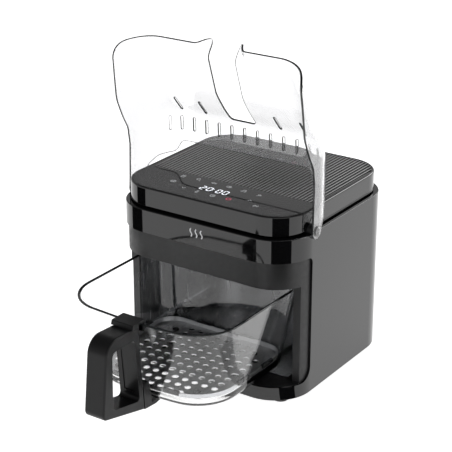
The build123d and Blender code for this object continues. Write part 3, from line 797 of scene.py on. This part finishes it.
def rib_tree():
    """Geometry nodes: a row of rounded ribs that run front to back and end at a rounded rear outline."""
    sizes = ("Pitch", "Width", "Height", "Half Width", "Corner Radius", "Front", "Rear", "Level")
    inputs = {**dict.fromkeys(sizes, "Float"), "Ribs": "Int", "Middle": "Vector", "Finish": "Material"}
    tree, given = new_tree("rib_field", inputs)
    place = add_node(tree, "GeometryNodeInputPosition")
    parts = add_node(tree, "ShaderNodeSeparateXYZ", links={0: (place, 0)})
    known = {name: (given, name) for name in inputs}
    known["x"] = (parts, "X")
    # Where the row starts, then how far each rib reaches back: less near the sides, along a quarter circle
    sums = (("last", "SUBTRACT", "Ribs", 1.0), ("span", "MULTIPLY", "last", "Pitch"),
            ("start", "MULTIPLY", "span", -0.5), ("away", "ABSOLUTE", "x"),
            ("straight", "SUBTRACT", "Half Width", "Corner Radius"), ("past", "SUBTRACT", "away", "straight"),
            ("into", "MAXIMUM", "past", 0.0), ("into square", "MULTIPLY", "into", "into"),
            ("radius square", "MULTIPLY", "Corner Radius", "Corner Radius"),
            ("reach square", "SUBTRACT", "radius square", "into square"), ("reach", "SQRT", "reach square"),
            ("centre", "SUBTRACT", "Rear", "Corner Radius"), ("rear end", "ADD", "centre", "reach"),
            ("run", "SUBTRACT", "rear end", "Front"), ("ends", "ADD", "rear end", "Front"),
            ("middle", "MULTIPLY", "ends", 0.5), ("half", "MULTIPLY", "Width", 0.5))
    for name, operation, *terms in sums:
        fixed = {i: term for i, term in enumerate(terms) if isinstance(term, float)}
        joined = {i: known[term] for i, term in enumerate(terms) if isinstance(term, str)}
        known[name] = (add_node(tree, "ShaderNodeMath", {"operation": operation}, fixed, joined), 0)
    start = add_node(tree, "ShaderNodeCombineXYZ", links={"X": known["start"]})
    step = add_node(tree, "ShaderNodeCombineXYZ", links={"X": known["Pitch"]})
    line = add_node(tree, "GeometryNodeMeshLine", links={
        "Count": known["Ribs"], "Start Location": (start, 0), "Offset": (step, 0)})
    spot = add_node(tree, "ShaderNodeCombineXYZ", links={
        "X": known["x"], "Y": known["middle"], "Z": known["Level"]})
    placed = add_node(tree, "GeometryNodeSetPosition", links={
        "Geometry": (line, "Mesh"), "Position": (spot, 0)})
    bar = add_node(tree, "GeometryNodeMeshCylinder", inputs={
        "Vertices": RIB_SIDES, "Radius": 1.0, "Depth": 1.0})
    laid = add_node(tree, "GeometryNodeTransform", inputs={"Rotation": (math.pi / 2, 0, 0)},
                    links={"Geometry": (bar, "Mesh")})
    size = add_node(tree, "ShaderNodeCombineXYZ", links={
        "X": known["half"], "Y": known["run"], "Z": known["Height"]})
    ribs = add_node(tree, "GeometryNodeInstanceOnPoints", links={
        "Points": (placed, 0), "Instance": (laid, 0), "Scale": (size, 0)})
    moved = add_node(tree, "GeometryNodeTransform", links={
        "Geometry": (ribs, 0), "Translation": (given, "Middle")})
    return end_tree(tree, given, (moved, 0))


class TopOperator(bpy.types.Operator):
    """Makes the ribbed top: a vented plate with rounded ribs running front to back"""
    bl_idname = "fryer.top"
    bl_label = "Ribbed top"

    def execute(self, context):
        sizes = context.scene.fryer_top
        low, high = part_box("top_grille")
        low, high = low - HOME, high - HOME
        finish = rib_abs()
        outline = rounded([(low.x, low.y, 0), (high.x, low.y, 0), (high.x, high.y, sizes.corner),
                           (low.x, high.y, sizes.corner)], 16)
        slots = []
        # Each vent is a little wider than the gap between two ribs, which stand over its edges
        gap = (sizes.pitch - sizes.width * 0.9) / 2
        for i in range(VENT_COLUMNS):
            x = (i - VENT_COLUMNS // 2 + 0.5) * sizes.pitch
            for row in VENT_ROWS:
                front, rear = row[0] * MM, row[1] * MM
                slots.append([(x - gap, front), (x + gap, front), (x + gap, rear), (x - gap, rear)])
        flat, faces = flat_sheet(outline, slots, 0)
        level = low.z + sizes.plate
        points = [(x, y, level) for x, y in flat]
        vertices, made, _ = thick_sheet(points, [(0, 0, 1)] * len(points), faces, sizes.plate, 0.0, 2)
        plate = make_object("grille_plate", vertices, made, [finish], smooth=False)
        # The ribs stop just short of the plate's edges
        side_gap, front_gap, rear_gap = 0.4 * MM, 0.3 * MM, 0.6 * MM
        ribs = run_tree("grille_ribs", rib_tree(), {
            "Ribs": sizes.count, "Pitch": sizes.pitch, "Width": sizes.width, "Height": sizes.height,
            "Half Width": high.x - side_gap, "Corner Radius": sizes.corner, "Front": low.y + front_gap,
            "Rear": high.y - rear_gap, "Level": level, "Middle": HOME, "Finish": finish})
        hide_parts("top_grille")
        for piece in (plate, ribs):
            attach(piece, "housing")
        return {"FINISHED"}


# ---- control panel marks ----

def ring(x, y, radius, start=0, end=360, steps=20):
    """Round line, angles in degrees."""
    return arc((x, y), radius, math.radians(start), math.radians(end), steps)


def wave(x, y, rise, swing, steps=12):
    """Upright wavy line."""
    return [(x + swing * math.sin(2 * math.pi * k / steps), y + rise * (k / steps - 0.5))
            for k in range(steps + 1)]


# Line drawings in a box 2 wide and 2 high: what each key cooks, in plain signs
ICONS = {
    "chips": [[(-0.7, 0.1), (-0.5, -0.9), (0.5, -0.9), (0.7, 0.1), (-0.7, 0.1)], [(-0.4, 0.1), (-0.5, 0.9)],
              [(0, 0.1), (0, 1)], [(0.4, 0.1), (0.5, 0.9)]],
    "leg": [ring(-0.25, 0.2, 0.62), [(0.2, -0.25), (0.8, -0.85)], ring(0.85, -0.9, 0.14, steps=8)],
    "fish": [[(-0.9, 0), (-0.3, 0.45), (0.3, 0.3), (0.9, -0.4)],
             [(-0.9, 0), (-0.3, -0.45), (0.3, -0.3), (0.9, 0.4)], [(0.9, 0.4), (0.9, -0.4)]],
    "steak": [[(-0.9, 0.1), (-0.3, 0.7), (0.6, 0.6), (0.9, 0), (0.5, -0.6), (-0.5, -0.5), (-0.9, 0.1)],
              ring(0.25, 0.1, 0.25, steps=10)],
    "cake": [[(-0.8, -0.8), (-0.6, 0.1), (0.6, 0.1), (0.8, -0.8), (-0.8, -0.8)], ring(0, 0.1, 0.6, 0, 180)],
    "leaf": [ring(-0.5, -0.4, 1.0, 0, 80, 8), ring(0.33, 0.6, 1.0, 180, 265, 8), [(-0.8, -0.9), (0.2, 0.3)]],
    "fan": [ring(0, 0, 0.85), ring(0, 0, 0.2, steps=8), [(0, 0.2), (0.3, 0.7)], [(-0.2, -0.1), (-0.7, 0)],
            [(0.2, -0.1), (0.4, -0.65)]],
    "up": [[(-0.6, -0.3), (0, 0.4), (0.6, -0.3)]],
    "down": [[(-0.6, 0.3), (0, -0.4), (0.6, 0.3)]],
    "clock": [ring(0, 0, 0.8), [(0, 0.45), (0, 0), (0.35, -0.2)]],
    "heat": [ring(0, -0.55, 0.35), [(-0.18, -0.2), (-0.18, 0.8), (0.18, 0.8), (0.18, -0.2)]],
    "power": [ring(0, 0, 0.8, 120, 420), [(0, 0.2), (0, 1)]],
    "pause": [[(-0.5, 0.6), (0.5, 0), (-0.5, -0.6), (-0.5, 0.6)], [(0.8, 0.6), (0.8, -0.6)]],
}
# Where each key's middle is, in mm, and where the lit power key's is
KEYS = (("chips", -68, -63.8), ("leg", -43.8, -63.2), ("fish", -19.7, -63.5), ("steak", 4.3, -64.1),
        ("cake", 28.7, -65.1), ("leaf", 54, -67.3), ("fan", -68.2, -86.6), ("down", -43.4, -98.7),
        ("heat", -20.3, -100.9), ("clock", 4.2, -101.5), ("up", 53.2, -89.1), ("pause", 68.9, -100.9))
POWER_KEY = ("power", 27.8, -100)
# Left end of the row of lit digits, and how far its foot lies before the housing's axis
DISPLAY_LEFT, DISPLAY_FOOT = -25 * MM, 90.3 * MM
# Width of a digit to its height, and in such widths: one digit to the next, the gap in the middle, the colon
DIGIT_WIDTH, DIGIT_STEP, MIDDLE_GAP, COLON_PLACE = 0.55, 1.7, 0.7, 3.1
# Width of a segment, how much is cut off each of its ends, and the half length and places of the colon's dots
SEGMENT_WIDTH, SEGMENT_TRIM, DOT_HALF, DOT_PLACES = 1.1 * MM, 0.7, 0.5 * MM, (-87.5, -82.5)
SEGMENTS = {"0": "abcdef", "1": "bc", "2": "abged", "3": "abgcd", "4": "fgbc", "5": "afgcd", "6": "afgedc",
            "7": "abc", "8": "abcdefg", "9": "abcdfg"}
SEGMENT_ENDS = {"a": ((0, 1), (1, 1)), "b": ((1, 1), (1, 0.5)), "c": ((1, 0.5), (1, 0)),
                "d": ((0, 0), (1, 0)), "e": ((0, 0), (0, 0.5)), "f": ((0, 0.5), (0, 1)),
                "g": ((0, 0.5), (1, 0.5))}
# Hot-air sign: where its three waves stand and how high up the band, their rise and swing, and their stroke
SIGN_PLACES, SIGN_Z, SIGN_RISE, SIGN_SWING, SIGN_STROKE = (-8, 0, 8), 209.5 * MM, 11 * MM, 1.4 * MM, 1.6 * MM


def stroke(line, width, place, vertices, faces):
    """Adds a flat line of a given width, with mitred turns."""
    first = len(vertices)
    for i, point in enumerate(line):
        here = Vector(point)
        before = (here - Vector(line[i - 1])).normalized() if i else None
        after = (Vector(line[i + 1]) - here).normalized() if i < len(line) - 1 else None
        along = ((before or after) + (after or before)).normalized()
        side = Vector((-along.y, along.x))
        stretch = 1 / max(0.6, side.dot(Vector((-(after or before).y, (after or before).x))))
        for end in (-1, 1):
            vertices.append(place(here + side * (end * width / 2 * stretch)))
    for i in range(len(line) - 1):
        a = first + 2 * i
        faces.append((a, a + 2, a + 3, a + 1))


def print_marks(name, lines, width, place, thickness, material):
    """Marks printed on a surface: lines of a given width, as one thin closed body."""
    vertices, faces = [], []
    for line in lines:
        stroke(line, width, place, vertices, faces)
    made = make_object(name, vertices, faces, [material], smooth=False)
    solid = made.modifiers.new("thickness", "SOLIDIFY")
    solid.thickness = thickness
    solid.offset = 0
    flatten_modifiers(made)
    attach(made, "housing")


class MarksOperator(bpy.types.Operator):
    """Prints the icons on the touch zone, lights its digits, and prints a plain hot-air sign on the band"""
    bl_idname = "fryer.marks"
    bl_label = "Panel marks"

    def execute(self, context):
        marks = context.scene.fryer_marks
        colours = context.scene.fryer_finishes
        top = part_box("touch_panel")[1].z - HOME.z + marks.thickness / 2

        def on_top(point):
            return (point.x, point.y, top)

        def icon(name, x, y):
            size = marks.icon / 2
            return [[(x * MM + u * size, y * MM + v * size) for u, v in line] for line in ICONS[name]]

        keys = [line for key in KEYS for line in icon(*key)]
        print_marks("panel_icons", keys, marks.stroke, on_top, marks.thickness,
                    moulded("grey_white_print", "#d2d5d9", "#e6e8ea", 0.4, 1.0, 0.005))
        print_marks("power_key", icon(*POWER_KEY), marks.stroke, on_top, marks.thickness,
                    lit("red_key_light", linear("#c0405a"), 0.6))
        digits = []
        tall, wide = marks.digit, marks.digit * DIGIT_WIDTH
        foot = Vector((0, DISPLAY_FOOT))
        for i, digit in enumerate(marks.time):
            # The hours and the minutes stand apart, with the colon between them
            x = DISPLAY_LEFT + i * wide * DIGIT_STEP + (wide * MIDDLE_GAP if i > 1 else 0)
            for segment in SEGMENTS[digit]:
                (a, b), (c, d) = SEGMENT_ENDS[segment]
                start, end = Vector((x + a * wide, b * tall)), Vector((x + c * wide, d * tall))
                trim = (end - start).normalized() * SEGMENT_TRIM * MM
                digits.append([tuple(start + trim - foot), tuple(end - trim - foot)])
        colon = DISPLAY_LEFT + wide * COLON_PLACE
        for y in DOT_PLACES:
            digits.append([(colon - DOT_HALF, y * MM), (colon + DOT_HALF, y * MM)])
        print_marks("display_digits", digits, SEGMENT_WIDTH, on_top, marks.thickness,
                    lit("white_digit_light", colours.digits, 1.3))
        front = SHELL_LOW.y - HOME.y - marks.thickness / 2

        def on_band(point):
            return (point.x, front, point.y)

        signs = [wave(x * MM, SIGN_Z, SIGN_RISE, SIGN_SWING) for x in SIGN_PLACES]
        print_marks("hot_air_sign", signs, SIGN_STROKE, on_band, marks.thickness,
                    moulded("silver_print", "#c9cacc", "#d9dadc", 0.35, 1.0, 0.005))
        return {"FINISHED"}


# ---- screw heads ----

HEAD_RADIUS = 3.2 * MM
CROSS_LENGTH, CROSS_WIDTH, CROSS_DEPTH = 3.6 * MM, 0.9 * MM, 0.12 * MM


def cross_tree():
    """Geometry nodes: a flat cross on each point given, which stands for a screw's recess and carries its
    painted shade.
    """
    tree, given = new_tree("screw_crosses", {"Points": "Geometry", "Length": "Float", "Width": "Float",
                                             "Depth": "Float", "Turn": "Vector", "Finish": "Material"})
    long_way = add_node(tree, "ShaderNodeCombineXYZ", links={
        "X": (given, "Length"), "Y": (given, "Width"), "Z": (given, "Depth")})
    short_way = add_node(tree, "ShaderNodeCombineXYZ", links={
        "X": (given, "Width"), "Y": (given, "Length"), "Z": (given, "Depth")})
    bars = [add_node(tree, "GeometryNodeMeshCube", links={"Size": (way, 0)}) for way in (long_way, short_way)]
    cross = add_node(tree, "GeometryNodeMeshBoolean", {"operation": "UNION", "solver": "EXACT"})
    for bar in bars:
        tree.links.new(bar.outputs["Mesh"], cross.inputs["Mesh 2"])
    turned = add_node(tree, "GeometryNodeTransform", links={
        "Geometry": (cross, 0), "Rotation": (given, "Turn")})
    placed = add_node(tree, "GeometryNodeInstanceOnPoints", links={
        "Points": (given, "Points"), "Instance": (turned, 0)})
    return end_tree(tree, given, (placed, 0))


class ScrewsOperator(bpy.types.Operator):
    """Gives the screw heads on the back and under the base flat crosses with painted shade in place of their
    recesses
    """
    bl_idname = "fryer.screws"
    bl_label = "Screw recesses"

    def execute(self, context):
        tree = cross_tree()
        # Near-black crosses: painted shade where each screw's recess would fall into shadow
        finish = moulded("screw_recess_painted_shade", "#070707", "#0a0a0a", 0.8, 1.0, 0.01)
        for node, axis, turn in (("back_screws", 1, (math.pi / 2, 0, 0)), ("base_screws", 2, (0, 0, 0))):
            low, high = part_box(node)
            face = high[1] if axis == 1 else low[2]
            places = []
            for x in (low.x + HEAD_RADIUS, high.x - HEAD_RADIUS):
                first, last = (low.z, high.z) if axis == 1 else (low.y, high.y)
                for v in (first + HEAD_RADIUS, last - HEAD_RADIUS):
                    places.append((x, face, v) if axis == 1 else (x, v, face))
            made = run_tree(node + "_crosses", tree, {
                "Length": CROSS_LENGTH, "Width": CROSS_WIDTH, "Depth": CROSS_DEPTH, "Turn": turn,
                "Finish": finish}, places)
            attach(made, "housing")
        return {"FINISHED"}


# ---- stage ----

# The housing's front corners: their axis and radius, in mm from HOME
CORNER_X, CORNER_Y, CORNER_RADIUS = 85, -77.5, 55
# How far the upright cards stand out, and the height of their tops
CARD_GAP, CARD_TOP = 50, 240
# Brightness of the surroundings, from the floor up to straight overhead
SKY = ((0.0, 0.75), (0.25, 0.55), (0.45, 0.42), (0.7, 0.16), (1.0, 0.10))
FLOOR_HALF = 14.0
LAMP_SIZE, LAMP_POWER, LAMP_PLACE = 2.4, 26, (0.2, -0.3, 2.6)
SENSOR_WIDTH = 36
# Point that the camera looks at, from HOME
TARGET = Vector((-43.91, 0, 165.13)) * MM


def flat_piece(name, corners, faces, material):
    """Flat object with one material."""
    mesh = bpy.data.meshes.new(name)
    mesh.from_pydata(corners, [], faces)
    mesh.materials.append(material)
    return add_object(name, mesh)


def card(name, corners, faces, material):
    """Card that only shows as a reflection."""
    made = flat_piece(name, corners, faces, material)
    for ray in ("camera", "diffuse", "transmission", "volume_scatter", "shadow"):
        setattr(made, "visible_" + ray, False)
    return made


class StageOperator(bpy.types.Operator):
    """Sets the pale floor, the soft light and the camera"""
    bl_idname = "fryer.stage"
    bl_label = "Stage"

    def cards(self):
        """Black cards stand and lie beside the front corners, and a light one stands behind, to the right."""
        def beside(side, angle, out, direction, z):
            """Point this far out from a front corner, from a place on its rounding, all in mm and degrees."""
            a, b = math.radians(angle), math.radians(direction)
            return HOME + Vector((side * (CORNER_X + CORNER_RADIUS * math.sin(a) + out * math.sin(b)),
                                  CORNER_Y - CORNER_RADIUS * math.cos(a) - out * math.cos(b), z)) * MM

        black = reflector("black_card", 0.0)
        # Name, side, height of the foot, and (place on the rounding, direction) from the front to the side
        uprights = (("right_band_card", 1, 128, ((27, 20), (34, 34), (41, 48), (48, 62), (54, 74))),
                    ("left_band_card", -1, 168, ((3, 40), (12, 58), (22, 78))))
        for name, side, low, places in uprights:
            corners = [beside(side, angle, CARD_GAP, direction, z)
                       for z in (low, CARD_TOP) for angle, direction in places]
            count = len(places)
            faces = [(i, i + 1, count + i + 1, count + i) for i in range(count - 1)]
            card(name, corners, faces, black)
        # (Place on the rounding, distance out, direction) of each corner, just below the shell's lower edge
        lying = [beside(1, *place, -3) for place in ((42, 4, 50), (40, 130, 42), (60, 130, 88), (64, 4, 94))]
        card("right_lip_card", lying, [(0, 1, 2, 3)], black)
        aim, distance, half_width, half_height = Vector((0.45, 0.75, 0.48)).normalized(), 2.2, 1.2, 0.4
        across = aim.cross(Vector((0, 0, 1))).normalized() * half_width
        up = across.cross(aim).normalized() * half_height
        middle = HOME + aim * distance
        corners = [middle - across - up, middle + across - up, middle + across + up, middle - across + up]
        card("rear_light_card", corners, [(0, 1, 2, 3)], reflector("light_card", 5.6))

    def execute(self, context):
        stage = context.scene.fryer_stage
        corners = [(x * FLOOR_HALF, y * FLOOR_HALF, 0) for x, y in ((-1, -1), (1, -1), (1, 1), (-1, 1))]
        flat_piece("floor", corners, [(0, 1, 2, 3)], lit_floor(context.scene.fryer_finishes))

        world = bpy.data.worlds.new("studio")
        world.use_nodes = True
        tree = world.node_tree
        tree.nodes.clear()
        where = add_node(tree, "ShaderNodeTexCoord")
        parts = add_node(tree, "ShaderNodeSeparateXYZ", links={0: (where, "Generated")})
        ramp = add_node(tree, "ShaderNodeValToRGB", links={"Fac": (parts, "Z")})
        while len(ramp.color_ramp.elements) < len(SKY):
            ramp.color_ramp.elements.new(0.5)
        for element, (position, value) in zip(ramp.color_ramp.elements, SKY):
            element.position = position
            element.color = (value, value, value, 1)
        light = add_node(tree, "ShaderNodeBackground", inputs={"Strength": 1.0},
                         links={"Color": (ramp, "Color")})
        add_node(tree, "ShaderNodeOutputWorld", links={"Surface": (light, "Background")})
        context.scene.world = world

        lamp = bpy.data.lights.new("overhead_softbox", "AREA")
        lamp.shape = "RECTANGLE"
        lamp.size, lamp.size_y = LAMP_SIZE, LAMP_SIZE
        lamp.energy = LAMP_POWER
        box = add_object("overhead_softbox", lamp)
        box.location = LAMP_PLACE
        box.visible_glossy = False
        self.cards()

        camera = bpy.data.cameras.new("camera")
        camera.lens = stage.lens
        camera.sensor_width = SENSOR_WIDTH
        camera.clip_start, camera.clip_end = 0.05, 60
        viewer = add_object("camera", camera)
        back = Vector((math.sin(stage.azimuth) * math.cos(stage.elevation),
                       -math.cos(stage.azimuth) * math.cos(stage.elevation), math.sin(stage.elevation)))
        viewer.location = HOME + TARGET + back * stage.distance
        viewer.rotation_mode = "QUATERNION"
        viewer.rotation_quaternion = (-back).to_track_quat("-Z", "Y")
        context.scene.camera = viewer
        context.scene.view_settings.view_transform = "Standard"
        return {"FINISHED"}


GROUPS = {"fryer_guard": GuardSizes, "fryer_basket": BasketSizes, "fryer_top": TopSizes,
          "fryer_marks": PanelMarks, "fryer_finishes": Finishes, "fryer_stage": StageSettings}
OPERATORS = (CasingOperator, InsidesOperator, HandleOperator, DrawerOperator, GuardOperator, TopOperator,
             MarksOperator, ScrewsOperator, StageOperator)


class FryerPanel(bpy.types.Panel):
    """Lists the pieces and their sizes"""
    bl_idname = "VIEW3D_PT_fryer"
    bl_label = "Air fryer"
    bl_space_type = "VIEW_3D"
    bl_region_type = "UI"
    bl_category = "Air fryer"

    def draw(self, context):
        for operator in OPERATORS:
            self.layout.operator(operator.bl_idname)
        for group, kind in GROUPS.items():
            box = self.layout.box()
            for name in kind.__annotations__:
                box.prop(getattr(context.scene, group), name)


def register():
    for kind in (*GROUPS.values(), *OPERATORS, FryerPanel):
        bpy.utils.register_class(kind)
    for group, kind in GROUPS.items():
        setattr(bpy.types.Scene, group, PointerProperty(type=kind))


def unregister():
    for group in GROUPS:
        delattr(bpy.types.Scene, group)
    for kind in reversed((*GROUPS.values(), *OPERATORS, FryerPanel)):
        bpy.utils.unregister_class(kind)


def main():
    """Registers the add-on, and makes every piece."""
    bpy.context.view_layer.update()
    register()
    for operator in OPERATORS:
        group, name = operator.bl_idname.split(".")
        getattr(getattr(bpy.ops, group), name)()


if __name__ == "__main__":
    main()
